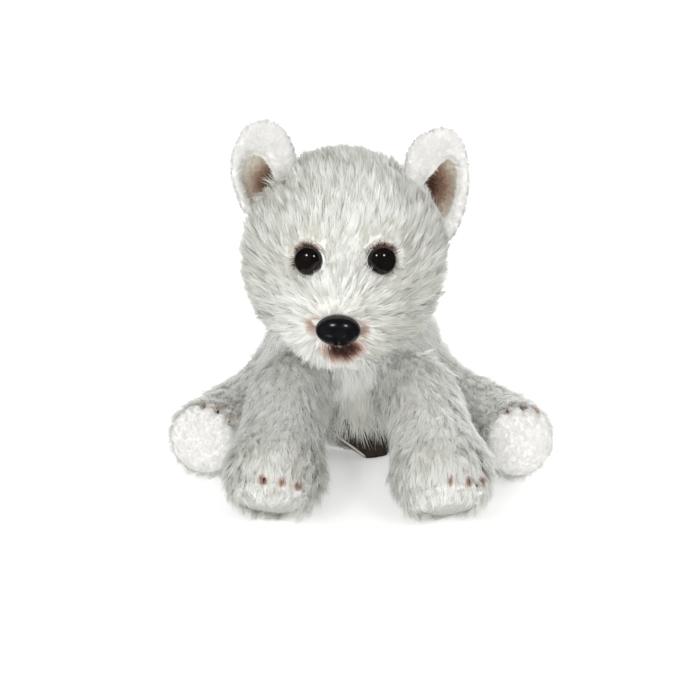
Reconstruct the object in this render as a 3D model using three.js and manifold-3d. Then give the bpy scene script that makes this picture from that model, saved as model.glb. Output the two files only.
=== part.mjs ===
// A small sitting plush terrier, in millimetres with +Z up. The dog faces -Y and its own left is +X.
// Every cover is a shell as thick as its backing and pile together, sewn closed around its filling.
import * as THREE from 'three';
import { mergeVertices } from 'three/addons/utils/BufferGeometryUtils.js';
import Module from 'manifold-3d';

const wasm = await Module();
wasm.setup();

// ---- driving dimensions ----
const GAP = 0.3; // between pieces that touch
const BENT_GAP = 0.8; // between a bent cover and its filling
const PILE = 6; // backing and pile of the body and head
const LIMB_PILE = 5; // backing and pile of the legs
const TAIL_PILE = 3;
const REACH = 200; // longer than the whole dog, for cutting tools

const TORSO = { at: [0, 16, 36], radii: [45, 42, 52], lean: 18 };
// The belly is tucked up in front: it leaves the floor along a slanting line and rises towards the right foreleg.
const TUCK = { at: [-11.2, 21.8, 0], facing: [-0.598, -0.3, -0.744], from: -24, to: 15, back: 22 };
const HEAD = { at: [-4, -36, 105], radii: [44.5, 41, 46] };
const MUZZLE = { towards: [-0.05, -0.92, -0.39], height: 9, spread: 0.5 };
const JAW = { towards: [-0.04, -0.62, -0.78], height: 4, spread: 0.45 };
const NECK = { at: [-3, -20, 70], hole: 15, turn: 25, clearance: 1.8 };

const BELLY = { halfWidth: 17, top: 24 }; // the gusset between the legs
const POUCH = { at: [9, 27, 12], radii: [14, 14, 15], wall: 1, slit: 6, floor: 3.2 }; // bag of pellets in the seat

const EYE = { radius: 6, dome: 4, seat: 4.2, shank: 1.9, shankLength: 9 };
const NOSE = { radius: 9.2, squash: 0.72, dome: 5.4, seat: 3, shank: 2.2, shankLength: 10 };
const BUTTON_EDGE = 0.7; // height of the short straight rim under each dome
const WASHER = { radius: 5.4, thick: 1.2 };
const WALL_BEHIND_BUTTON = 2.2;
const DRILL = 24; // how far a pocket runs past the surface
const EYES = [
  { side: 'right', at: [-19.1, -74.1, 111], towards: [-0.2, -0.97, 0.1] },
  { side: 'left', at: [12.5, -73.6, 111], towards: [0.2, -0.97, 0.1] },
];
const NOSE_AT = { at: [-6.3, -82.8, 84], towards: [-0.05, -0.98, -0.1] };
const MOUTH = { halfWidth: 6.5, drop: 12.8, back: 2.4, thread: 1.1, sag: 2.2 };

const EAR = { halfWidth: 14.5, halfHeight: 16, thick: 3.2, cup: 6, tip: 5, taper: 0.3, lean: 0.15 };
const EAR_LINING = { thick: 1.1, scale: 0.72 };
const EARS = [
  { side: 'right', root: [-35, -32, 130], slope: 24, shear: 0, fold: 15 },
  { side: 'left', root: [32, -32, 127.5], slope: -34, shear: 1.5, fold: 15 },
];

const FRONT_LEGS = [
  { side: 'right', shoulder: [-28, -28, 39], paw: [-34, -86, 12.4], facing: [-0.08, -0.69, -0.72], toeTurn: -0.35 },
  { side: 'left', shoulder: [29, -30, 39], paw: [39, -87.5, 12.4], facing: [0.12, -0.69, -0.72], toeTurn: -0.35 },
];
const FRONT_LEG = {
  sole: 16, ankle: 22, toeSpread: 0.42, root: 19,
  outline: [[17.4, 1.5], [22, 8], [22.5, 15], [20.5, 26], [19, 38]],
};
const HIND_LEGS = [
  { side: 'right', hip: [-39, 18, 21.5], paw: [-67.5, -36, 18.8], facing: [-0.3, -0.95, 0.03], toeTurn: -0.45 },
  { side: 'left', hip: [41, 18, 21.5], paw: [74, -43, 20.5], facing: [0.25, -0.96, 0.03], toeTurn: -0.1 },
];
const HIND_LEG = {
  sole: 14.5, ankle: 38, toeSpread: 0.45, root: 19,
  outline: [[16, 1.5], [17.8, 7], [18, 16], [18, 28], [18, 40]],
};
const SOLE_INSET = 3; // how far the filling stays behind the sole
const PAD_THICK = 2;
const SOCKET_GAP = 1.5;
const ROOM_TAPER = 1.2; // how much slimmer a leg's swing room is than its ball socket
const STITCH = { thread: 0.8, length: 3.6, ring: 2, back: 1.4, slant: 1.1 };
const FRONT_SWING = [-6, 0, 20];
const HIND_SWING = [0, 20];
const TAIL = { root: [0, 55, 34], tip: [0, 70, 52], radius: 7.5, tipRadius: 5, wag: 30, rise: 10 };
const LABEL = { width: 12, length: 18, thick: 0.7, at: [24, 40, 5] };

// ---- finishes ----
const finish = (color, roughness, metalness = 0) =>
  new THREE.MeshStandardMaterial({ color, roughness, metalness });
const FINISHES = {
  fur: () => finish(0xeeeeea, 0.9),
  velour: () => finish(0xf6f5f1, 0.95),
  belly: () => finish(0x5a5245, 0.95),
  lining: () => finish(0x8a6a58, 0.95),
  filling: () => finish(0xfafafa, 1),
  pouch: () => finish(0xd9d7cf, 0.9),
  pellets: () => finish(0xe6e6e2, 0.5),
  eye: () => finish(0x0a0808, 0.08),
  washer: () => finish(0xdddddd, 0.4),
  thread: () => finish(0x6b4038, 0.8),
  label: () => finish(0xf2f2f0, 0.5),
};

// ---- solids ----
const vector = (list) => new THREE.Vector3(...list);

function solidOf(geometry) {
  geometry.deleteAttribute('normal');
  geometry.deleteAttribute('uv');
  const merged = mergeVertices(geometry, 1e-4);
  const vertProperties = new Float32Array(merged.attributes.position.array);
  const triVerts = new Uint32Array(merged.index.array);
  return new wasm.Manifold(new wasm.Mesh({ numProp: 3, vertProperties, triVerts }));
}

function geometryOf(solid) {
  const mesh = solid.getMesh();
  const geometry = new THREE.BufferGeometry();
  geometry.setAttribute('position', new THREE.BufferAttribute(new Float32Array(mesh.vertProperties), 3));
  geometry.setIndex(new THREE.BufferAttribute(new Uint32Array(mesh.triVerts), 1));
  geometry.computeVertexNormals();
  return geometry;
}

function reshape(geometry, place) {
  const position = geometry.attributes.position;
  const point = new THREE.Vector3();
  for (let i = 0; i < position.count; i += 1) {
    const moved = place(point.fromBufferAttribute(position, i));
    position.setXYZ(i, moved.x, moved.y, moved.z);
  }
  return geometry;
}

const without = (solid, cuts) => cuts.reduce((left, cut) => left.subtract(cut), solid);

function ball(at, radius, turns = 20, rings = 12) {
  return solidOf(new THREE.SphereGeometry(radius, turns, rings).translate(...at));
}

function block(low, high) {
  const size = high.map((value, i) => value - low[i]);
  const centre = high.map((value, i) => (value + low[i]) / 2);
  return solidOf(new THREE.BoxGeometry(...size).translate(...centre));
}

// Turns a geometry made around +Y so that +Y points along `towards` and +Z stays as upright as it can.
function aimed(geometry, at, towards) {
  const along = vector(towards).normalize();
  const upright = Math.abs(along.z) > 0.9 ? new THREE.Vector3(0, -1, 0) : new THREE.Vector3(0, 0, 1);
  upright.addScaledVector(along, -upright.dot(along)).normalize();
  const basis = new THREE.Matrix4().makeBasis(along.clone().cross(upright), along, upright);
  return geometry.applyMatrix4(basis).translate(...at);
}

function rod(at, towards, radius, from, to, sides = 16) {
  const geometry = new THREE.CylinderGeometry(radius, radius, to - from, sides).translate(0, (from + to) / 2, 0);
  return solidOf(aimed(geometry, at, towards));
}

function lathe(profile, sides) {
  return new THREE.LatheGeometry(profile.map(([radius, along]) => new THREE.Vector2(radius, along)), sides);
}

function turned(solid, at, axis, degrees) {
  const turn = new THREE.Matrix4().makeRotationAxis(vector(axis).normalize(), THREE.MathUtils.degToRad(degrees));
  const about = new THREE.Matrix4().makeTranslation(...at)
    .multiply(turn)
    .multiply(new THREE.Matrix4().makeTranslation(...at.map((value) => -value)));
  return solid.transform(about.elements);
}

// ---- stuffed forms ----
// A stuffed body: an ellipsoid whose top leans forward and which swells towards each bulge.
function stuffedForm({ at, radii, lean = 0, bulges = [], inset = 0, turns = 20, rings = 12 }) {
  const form = new THREE.SphereGeometry(1, turns, rings).rotateX(Math.PI / 2);
  const centre = vector(at);
  const size = vector(radii).subScalar(inset);
  return solidOf(reshape(form, (way) => {
    const place = way.clone().multiply(size).add(centre);
    place.y -= lean * Math.max(0, way.z) ** 2;
    for (const { towards, height, spread } of bulges) {
      const aim = vector(towards).normalize();
      place.addScaledVector(aim, height * Math.exp(-((way.angleTo(aim) / spread) ** 2)));
    }
    return place;
  }));
}

// A stuffed limb: a lathe turned about a straight line, then bent along the limb's own curve.
function limbForm({ route, outline, root, inset = 0, endInset = inset, sides = 14 }) {
  const length = route.getLength();
  const profile = [[0, endInset], [outline[0][0] - inset - 1.5, endInset]];
  for (const [radius, along] of outline) profile.push([radius - inset, Math.max(along, endInset + 0.5)]);
  const domeSteps = 5;
  for (let step = 0; step <= domeSteps; step += 1) {
    const angle = (step / domeSteps) * (Math.PI / 2);
    profile.push([(root - inset) * Math.cos(angle), length + (root - inset) * Math.sin(angle)]);
  }
  profile[profile.length - 1][0] = 0;
  return solidOf(reshape(lathe(profile, sides), ({ x, y, z }) => {
    const share = THREE.MathUtils.clamp(y / length, 0, 1);
    const forward = route.getTangentAt(share);
    const across = new THREE.Vector3(1, 0, 0).addScaledVector(forward, -forward.x).normalize();
    const upward = across.clone().cross(forward);
    return route.getPointAt(share).clone()
      .addScaledVector(forward, y - share * length)
      .addScaledVector(across, x)
      .addScaledVector(upward, z);
  }));
}

// ---- torso ----
function torsoForm(inset) {
  const whole = stuffedForm({ ...TORSO, inset });
  const floor = inset > 0 ? inset * 0.4 : 0;
  return whole.subtract(block([-REACH, -REACH, -REACH], [REACH, REACH, floor])).subtract(bellyTuck(inset));
}

// Everything under the tucked belly, grown by the cover's thickness for the filling.
function bellyTuck(inset) {
  const { at, facing, from, to, back } = TUCK;
  const below = new THREE.BoxGeometry(REACH, REACH, REACH).translate(0, REACH / 2 - inset, 0);
  const column = block([from - inset, -REACH, -REACH], [to + inset, back + inset, REACH]);
  return solidOf(aimed(below, at, facing)).intersect(column);
}

// ---- head ----
const headForm = (inset, detail = {}) => stuffedForm({ ...HEAD, bulges: [MUZZLE, JAW], inset, ...detail });

function headSweep() {
  const grown = headForm(-NECK.clearance, { turns: 14, rings: 10 });
  return [-NECK.turn, 0, NECK.turn].map((degrees) => turned(grown, NECK.at, [0, 0, 1], degrees));
}

// A glossy button on a shank: the eye when round, the nose when squashed.
function button({ radius, dome, shank, shankLength, squash = 1 }, { at, towards }, sides = 18) {
  const profile = [[0, -shankLength], [shank, -shankLength], [shank, 0], [radius * 0.94, 0], [radius, BUTTON_EDGE]];
  const steps = 4;
  for (let step = 1; step <= steps; step += 1) {
    const angle = (step / steps) * (Math.PI / 2);
    profile.push([step === steps ? 0 : radius * Math.cos(angle), BUTTON_EDGE + dome * Math.sin(angle)]);
  }
  return solidOf(aimed(lathe(profile, sides).scale(1, 1, squash), at, towards));
}

function buttonPocket({ radius, shank, squash = 1 }, { at, towards }) {
  const well = new THREE.CylinderGeometry(radius + GAP, radius + GAP, DRILL, 20).translate(0, DRILL / 2 - GAP, 0);
  return solidOf(aimed(well.scale(1, 1, squash), at, towards)).add(rod(at, towards, shank + GAP, -DRILL, 1, 12));
}

function washer({ shank }, { at, towards }) {
  const back = -WALL_BEHIND_BUTTON - GAP - WASHER.thick;
  const front = -WALL_BEHIND_BUTTON - GAP;
  const ring = [
    [shank + GAP, back], [WASHER.radius, back], [WASHER.radius, front], [shank + GAP, front], [shank + GAP, back],
  ];
  return solidOf(aimed(lathe(ring, 16), at, towards));
}

function fillingPocket({ shankLength }, { at, towards }) {
  return rod(at, towards, WASHER.radius + GAP, -shankLength - 1, 0);
}

// The inside of the head, cleared of a round seat behind each button so that its washer lies flat.
function washerSeat({ at, towards }) {
  return rod(at, towards, WASHER.radius + GAP, -DRILL, -WALL_BEHIND_BUTTON);
}

function mouthThread(thread) {
  const [x, y, z] = NOSE_AT.at;
  const corner = (side) => new THREE.Vector3(x + side * MOUTH.halfWidth, y + MOUTH.back, z - MOUTH.drop - MOUTH.sag);
  const middle = new THREE.Vector3(x, y + MOUTH.back - 1, z - MOUTH.drop + MOUTH.sag);
  const route = new THREE.QuadraticBezierCurve3(corner(-1), middle, corner(1));
  const section = new THREE.Shape().absarc(0, 0, thread, 0, 2 * Math.PI);
  return solidOf(new THREE.ExtrudeGeometry(section, { extrudePath: route, steps: 8, curveSegments: 6 }));
}

// ---- ears ----
// Each ear is a cupped leaf. Its layers share one bend, so that the lining lies inside the cup.
function earLayer(ear, { thick, scale, forward, turns = 14, rings = 8 }) {
  const form = new THREE.SphereGeometry(1, turns, rings).rotateX(Math.PI / 2);
  const bent = reshape(form, ({ x, y, z }) => {
    const across = x * scale;
    const up = z * scale;
    const width = EAR.halfWidth * (1 - EAR.taper * up);
    const cup = EAR.cup * across * across + EAR.tip * Math.max(0, up) ** 2;
    return new THREE.Vector3(across * width + ear.shear * (up + 1), thick * y - forward - cup, EAR.halfHeight * (up + 1));
  });
  const lean = THREE.MathUtils.degToRad(ear.slope * EAR.lean);
  return bent.rotateY(-lean).translate(...ear.root);
}

const earBack = (ear) => solidOf(earLayer(ear, { thick: EAR.thick, scale: 1, forward: 0 }));

function earLining(ear) {
  return solidOf(earLayer(ear, { ...EAR_LINING, forward: EAR.thick + EAR_LINING.thick + GAP }));
}

const hingeOf = (ear) => {
  const slope = THREE.MathUtils.degToRad(ear.slope);
  return [Math.cos(slope), 0, Math.sin(slope)];
};

function earSweep(ear) {
  const solid = solidOf(earLayer(ear, { thick: EAR.thick + 3.5, scale: 1.2, forward: 1.5, turns: 10, rings: 7 }));
  return [-ear.fold, ear.fold].map((degrees) => turned(solid, ear.root, hingeOf(ear), degrees));
}

// ---- legs ----
const legRoute = (leg, ankle, top) => new THREE.QuadraticBezierCurve3(
  vector(leg.paw),
  vector(leg.paw).addScaledVector(vector(leg.facing).normalize(), -ankle),
  vector(top),
);

// Toe stitches fan out over the paw, just behind the edge of the sole.
function toePlaces(leg, size) {
  const facing = vector(leg.facing).normalize();
  const up = new THREE.Vector3(0, 0, 1).addScaledVector(facing, -facing.z).normalize();
  const places = [];
  for (const toe of [-1, 0, 1]) {
    const angle = toe * size.toeSpread + leg.toeTurn;
    const outward = up.clone().applyAxisAngle(facing, angle);
    const at = vector(leg.paw).addScaledVector(outward, size.sole + STITCH.ring).addScaledVector(facing, -STITCH.back);
    const along = outward.clone().addScaledVector(facing, -STITCH.slant);
    places.push({ at: at.toArray(), along: along.toArray() });
  }
  return places;
}

function stitch({ at, along }, extra = 0) {
  return solidOf(aimed(new THREE.CapsuleGeometry(STITCH.thread + extra, STITCH.length, 2, 6), at, along));
}

function legPieces(leg, size, top) {
  const base = { route: legRoute(leg, size.ankle, top), outline: size.outline, root: size.root };
  const { paw, facing } = leg;
  const padSeat = rod(paw, facing, size.sole + GAP, -LIMB_PILE, LIMB_PILE, 20);
  const stitches = toePlaces(leg, size);
  const inner = limbForm({ ...base, inset: LIMB_PILE, endInset: SOLE_INSET });
  return {
    room: limbForm({ ...base, root: size.root - ROOM_TAPER, inset: -1.3 * SOCKET_GAP, endInset: 0, sides: 12 }),
    cover: without(limbForm(base).subtract(inner), [padSeat, ...stitches.map((place) => stitch(place, GAP))]),
    stuffing: limbForm({ ...base, inset: LIMB_PILE + BENT_GAP, endInset: SOLE_INSET, sides: 12 }),
    pad: rod(paw, facing, size.sole, -PAD_THICK, 0, 20),
    stitches: stitches.map((place) => stitch(place)),
  };
}

function sweepOf(solid, at, axis, angles) {
  return angles.map((degrees) => turned(solid, at, axis, degrees));
}

// ---- tail ----
function tailForm(inset) {
  const route = new THREE.QuadraticBezierCurve3(
    vector(TAIL.tip),
    vector(TAIL.tip).add(new THREE.Vector3(0, 1, -TAIL.rise)),
    vector(TAIL.root),
  );
  const outline = [[TAIL.tipRadius * 0.8, 0.8], [TAIL.tipRadius, 3], [TAIL.tipRadius + 1, 10]];
  return limbForm({ route, outline, root: TAIL.radius, inset, sides: 12 });
}

// ---- assembly ----
const dog = new THREE.Group();

function add(name, solid, look) {
  const mesh = new THREE.Mesh(geometryOf(solid), FINISHES[look]());
  mesh.name = name;
  dog.add(mesh);
}

const legs = [
  ...FRONT_LEGS.map((leg) => ({
    name: `front_${leg.side}`, at: leg.shoulder, axis: [-1, 0, 0], angles: FRONT_SWING, root: FRONT_LEG.root,
    pieces: legPieces(leg, FRONT_LEG, leg.shoulder),
  })),
  ...HIND_LEGS.map((leg) => ({
    name: `hind_${leg.side}`, at: leg.hip, axis: [0, 0, Math.sign(leg.hip[0])], angles: HIND_SWING, root: HIND_LEG.root,
    pieces: legPieces(leg, HIND_LEG, leg.hip),
  })),
];

// The torso's hollows: under the head, around each leg's root and around the tail's.
function torsoHollows() {
  const sockets = legs.map(({ at, root }) => ball(at, root + SOCKET_GAP, 14, 9));
  const legRooms = legs.flatMap(({ pieces, at, axis, angles }) => sweepOf(pieces.room, at, axis, angles));
  const tailWay = vector(TAIL.tip).sub(vector(TAIL.root)).toArray();
  const tailRoom = rod(TAIL.root, tailWay, TAIL.radius + SOCKET_GAP, 0, TAIL.rise * 3, 10);
  const tailRooms = sweepOf(tailRoom, TAIL.root, [0, 0, 1], [-TAIL.wag, 0, TAIL.wag]);
  return [...headSweep(), ...sockets, ...legRooms, ball(TAIL.root, TAIL.radius + SOCKET_GAP, 14, 9), ...tailRooms];
}

function addTorso() {
  const hollows = torsoHollows();
  const shell = without(torsoForm(0).subtract(torsoForm(PILE)), hollows);
  const gusset = (gap) => block([-BELLY.halfWidth - gap, -REACH, -1], [BELLY.halfWidth + gap, REACH, BELLY.top + gap]);
  const pouch = (inset) => stuffedForm({ ...POUCH, inset, turns: 16, rings: 10 });
  const aboveFloor = (height) => block([-REACH, -REACH, height], [REACH, REACH, REACH]);
  const [pouchX, pouchY, pouchZ] = POUCH.at;
  const slit = block([pouchX - POUCH.slit, pouchY - 2, pouchZ], [pouchX + POUCH.slit, pouchY + 2, REACH]);
  const { wall, floor } = POUCH;
  add('torso_cover', shell.subtract(gusset(GAP)).subtract(labelSolid(GAP)), 'fur');
  add('belly_panel', shell.intersect(gusset(0)), 'belly');
  add('torso_stuffing', without(torsoForm(PILE + GAP), hollows).subtract(pouch(-GAP)), 'filling');
  const bag = pouch(0).intersect(aboveFloor(floor));
  const bagInside = pouch(wall).intersect(aboveFloor(floor + wall));
  add('pellet_pouch', bag.subtract(bagInside).subtract(slit), 'pouch');
  add('pellet_fill', pouch(wall + GAP).intersect(aboveFloor(floor + wall + GAP)), 'pellets');
  add('care_label', labelSolid(0), 'label');
}

function labelSolid(extra) {
  const { width, length, thick, at } = LABEL;
  const tab = new THREE.BoxGeometry(length + 2 * extra, width + 2 * extra, thick + 2 * extra);
  return solidOf(tab.translate(at[0] + length / 2, at[1], at[2]));
}

function addHead() {
  const cover = headForm(0).subtract(headForm(PILE));
  const neckHole = rod(NECK.at, [0, 0, 1], NECK.hole, -40, 10, 24);
  const buttons = [
    ...EYES.map((eye) => ({ name: `eye_${eye.side}`, size: EYE, place: sunk(eye, EYE.seat) })),
    { name: 'nose', size: NOSE, place: sunk(NOSE_AT, NOSE.seat) },
  ];
  const pockets = buttons.map(({ size, place }) => buttonPocket(size, place));
  const seats = buttons.map(({ place }) => washerSeat(place));
  const ears = EARS.flatMap((ear) => earSweep(ear));
  add('head_cover', without(cover, [neckHole, ...pockets, ...seats, ...ears, mouthThread(MOUTH.thread + GAP)]), 'fur');
  const rooms = buttons.map(({ size, place }) => fillingPocket(size, place));
  add('head_stuffing', without(headForm(PILE + GAP), [...rooms, ...pockets, ...ears]), 'filling');
  for (const { name, size, place } of buttons) {
    add(name, button(size, place), 'eye');
    add(`${name}_washer`, washer(size, place), 'washer');
  }
  add('mouth_stitch', mouthThread(MOUTH.thread), 'thread');
}

function sunk({ at, towards }, depth) {
  return { at: vector(at).addScaledVector(vector(towards).normalize(), -depth).toArray(), towards };
}

function addEars() {
  for (const ear of EARS) {
    add(`ear_${ear.side}_back`, earBack(ear), 'velour');
    add(`ear_${ear.side}_lining`, earLining(ear), 'lining');
  }
}

function addLegs() {
  const TOES = ['inner', 'middle', 'outer'];
  for (const { name, pieces } of legs) {
    add(`${name}_leg_cover`, pieces.cover, 'fur');
    add(`${name}_leg_stuffing`, pieces.stuffing, 'filling');
    add(`${name}_paw_pad`, pieces.pad, 'velour');
    pieces.stitches.forEach((toe, i) => add(`${name}_toe_stitch_${TOES[i]}`, toe, 'thread'));
  }
}

function addTail() {
  const opening = ball(TAIL.root, TAIL.radius * 0.55, 12, 8).translate([0, -TAIL.radius * 0.75, 0]);
  add('tail_cover', tailForm(0).subtract(tailForm(TAIL_PILE)).subtract(opening), 'fur');
  add('tail_stuffing', tailForm(TAIL_PILE + BENT_GAP), 'filling');
}

addTorso();
addHead();
addEars();
addLegs();
addTail();

// The origin is on the floor, under the middle of the whole dog.
const footprint = new THREE.Box3().setFromObject(dog);
const middle = footprint.getCenter(new THREE.Vector3());
dog.position.set(-middle.x, -middle.y, -footprint.min.z);
dog.updateMatrixWorld(true);

export default dog;
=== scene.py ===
"""A small sitting plush terrier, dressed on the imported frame. Metres, +Z up, facing -Y."""
import math

import bmesh
import bpy
import numpy as np
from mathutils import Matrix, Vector
from mathutils.bvhtree import BVHTree


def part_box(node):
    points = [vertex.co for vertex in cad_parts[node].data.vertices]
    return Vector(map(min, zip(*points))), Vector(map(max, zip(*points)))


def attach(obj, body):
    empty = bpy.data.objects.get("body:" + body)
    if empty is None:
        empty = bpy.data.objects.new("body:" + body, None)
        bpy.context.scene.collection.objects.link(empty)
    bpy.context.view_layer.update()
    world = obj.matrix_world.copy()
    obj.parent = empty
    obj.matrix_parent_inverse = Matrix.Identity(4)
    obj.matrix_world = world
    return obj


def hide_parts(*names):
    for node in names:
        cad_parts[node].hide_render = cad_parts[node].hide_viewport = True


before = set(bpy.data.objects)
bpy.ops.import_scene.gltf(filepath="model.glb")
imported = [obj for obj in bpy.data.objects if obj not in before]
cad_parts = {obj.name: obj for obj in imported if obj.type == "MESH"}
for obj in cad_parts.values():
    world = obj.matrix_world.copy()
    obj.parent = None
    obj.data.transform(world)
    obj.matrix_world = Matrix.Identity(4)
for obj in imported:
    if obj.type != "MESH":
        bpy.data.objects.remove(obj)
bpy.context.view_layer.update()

# ---- camera, floor and light ----
LENS = 70
SENSOR = 36
TARGET = Vector((-0.00472, -0.01734, 0.0595))
DISTANCE = 0.606
ELEVATION = math.radians(18)
FLOOR_RADIUS = 2.4
FLOOR_BEND = 0.9
KEY = {"at": (-0.32, -0.66, 0.62), "size": 0.13, "power": 1.3}
FILL = {"at": (0.34, -0.66, 0.58), "size": 0.13, "power": 1.0}
BACK = {"at": (0.90, 2.40, 1.65), "size": 1.2, "power": 76.0}
FRONT = {"at": (-0.40, -2.10, 0.42), "size": 1.1, "power": 30.0}
TOP = {"at": (-0.1, 0.10, 0.9), "size": 0.7, "power": 0.8}
SKY = 0.40
FLOOR_GLOW = 0.34

# ---- the dog ----
SIDES = ("right", "left")
LEGS = ("front_right", "front_left", "hind_right", "hind_left")
NOSE_FACING = Vector((-0.05, -0.98, -0.10)).normalized()
EYE_FACING = {side: Vector((out, -0.97, 0.1)).normalized() for side, out in (("right", -0.2), ("left", 0.2))}
EYE_RADIUS = 0.0060
EYE_DOME = 0.0042
EYE_SUNK = 0.0006
NOSE_RADIUS = 0.0092
NOSE_SQUASH = 0.72
VOXEL = 0.0028
BELLY_SEAM = {"from": -0.0195, "to": 0.0115, "height": 0.0022, "slope_x": -0.804, "slope_y": -0.403}
PILE_DEPTH = {"torso": 0.0042, "head": 0.0040, "leg": 0.0036, "tail": 0.0018}
THREAD_SUNK = 0.0003
MOST_PUSH = 0.0015
TOE_SPREAD = 0.45
TOE_SWELL = 0.0014
TOE_GROOVE = 0.12
BELLY_FUR_FROM = 0.012
LOCKS = {"head": 0.34e6, "torso": 0.28e6, "leg": 0.29e6, "tail": 0.22e6}
LEG_PILE = 0.0105
# The front paws' sole pile (tone) and the fur round their soles (greyer) are darker than the hind paws':
# painted shade, as they face down to the floor.
PAW = {
    "front": {"pile": 0.0090, "greyer": 0.24, "bare": 0.0130, "crown": 0.0026, "wider": 0.0, "tone": 0.04},
    "hind": {"pile": 0.0080, "greyer": 0.0, "bare": 0.0140, "crown": 0.0050, "wider": 0.0008, "tone": 0.34},
}
PAD_REACH = 0.006
SOLE_THICK = 0.0018
SOLE_SPOKES = 64
ROOT_GAP = 0.0006
RESTS_BELOW = 0.0015
SOLE_PILE = 1.9e6
EAR_PILE = 2.4e6
LINING_PILE = 1.5e6
NOSE_DOME = 0.0058
DOME_BACK = 0.0012
MOUTH_THREAD = 0.0008
TOE_THREAD = 0.00045
SEAM_THREAD = 0.0007
LABEL_HALF = 0.00012
SOFT_SHADING = 0.65
BEND = 0.45
SWATCH_HALF = 0.004
SWATCH_EDGE = 0.006
CLOTH_FRAMES = 20
CLOTH_CAP = 0.0012
FACE_CAP = 0.0003
DOWN = np.array([0.0, 0.0, -1.0])
UP = -DOWN


# ---- small helpers ----
def unit(vectors):
    return vectors / np.maximum(np.linalg.norm(vectors, axis=-1, keepdims=True), 1e-12)


def ramp(low, high, value):
    share = np.clip((value - low) / (high - low), 0.0, 1.0)
    return share * share * (3.0 - 2.0 * share)


def dot(a, b):
    return np.sum(a * b, axis=-1)


def centre_of(node):
    low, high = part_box(node)
    return (low + high) / 2


def link(name, mesh, material=None):
    obj = bpy.data.objects.new(name, mesh)
    bpy.context.scene.collection.objects.link(obj)
    if material is not None:
        mesh.materials.append(material)
    return obj


def flat_mesh(name, points, faces, material=None):
    mesh = bpy.data.meshes.new(name)
    mesh.from_pydata([tuple(p) for p in points], [], faces)
    mesh.update()
    mesh.shade_smooth()
    return link(name, mesh, material)


def bake_modifiers(obj):
    bpy.context.view_layer.update()
    graph = bpy.context.evaluated_depsgraph_get()
    mesh = bpy.data.meshes.new_from_object(obj.evaluated_get(graph))
    obj.modifiers.clear()
    obj.data = mesh
    mesh.shade_smooth()
    return obj


def fix_normals(obj):
    shape = bmesh.new()
    shape.from_mesh(obj.data)
    bmesh.ops.recalc_face_normals(shape, faces=shape.faces)
    shape.to_mesh(obj.data)
    shape.free()


def solid_mesh(name, points, faces, material):
    obj = flat_mesh(name, points, faces, material)
    fix_normals(obj)
    return obj


def ring_faces(rings, spokes, first):
    """Quads between rings of points that follow each other, spokes to a ring, from point number first."""
    faces = []
    for ring in range(rings - 1):
        a = first + ring * spokes
        for k in range(spokes):
            b = (k + 1) % spokes
            faces.append((a + k, a + b, a + spokes + b, a + spokes + k))
    return faces


def end_fan(first, spokes, hub):
    """Triangles from a ring of points to one hub point."""
    return [(first + k, first + (k + 1) % spokes, hub) for k in range(spokes)]


def closed_rings(rings, spokes):
    """Faces of a body made of a first point, rings of points and a last point."""
    last = 1 + rings * spokes
    start = [(hub, b, a) for a, b, hub in end_fan(1, spokes, 0)]
    return start + ring_faces(rings, spokes, 1) + end_fan(last - spokes, spokes, last)


def svd_axes(points):
    """The middle of a cloud of points and its longest, second and shortest axes."""
    middle = points.mean(0)
    _, _, rows = np.linalg.svd(points - middle, full_matrices=False)
    return middle, rows


def part_of(obj, body, replaces=None):
    """Puts a piece on the body it rides on and hides the CAD node it stands for, if one is given."""
    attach(obj, body)
    if replaces is not None:
        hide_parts(replaces)
    return obj


def points_of(obj):
    co = np.empty(len(obj.data.vertices) * 3)
    obj.data.vertices.foreach_get("co", co)
    return co.reshape(-1, 3)


def normals_of(obj):
    data = np.empty(len(obj.data.vertices) * 3)
    obj.data.vertex_normals.foreach_get("vector", data)
    return data.reshape(-1, 3)


def set_points(obj, points):
    obj.data.vertices.foreach_set("co", points.astype(np.float32).ravel())
    obj.data.update()


def tree_of(obj):
    obj.data.calc_loop_triangles()
    corners = [tuple(t.vertices) for t in obj.data.loop_triangles]
    return BVHTree.FromPolygons([v.co.copy() for v in obj.data.vertices], corners)


def tousle(points, scale, seed):
    """A smooth wandering direction field, about 1 long."""
    rng = np.random.default_rng(seed)
    total = np.zeros_like(points)
    for _ in range(5):
        way = unit(rng.normal(size=3)) / scale * rng.uniform(0.6, 1.6)
        phase = rng.uniform(0, 2 * math.pi)
        total += unit(rng.normal(size=3)) * np.sin(points @ way + phase)[:, None]
    return total * 0.6


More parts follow.
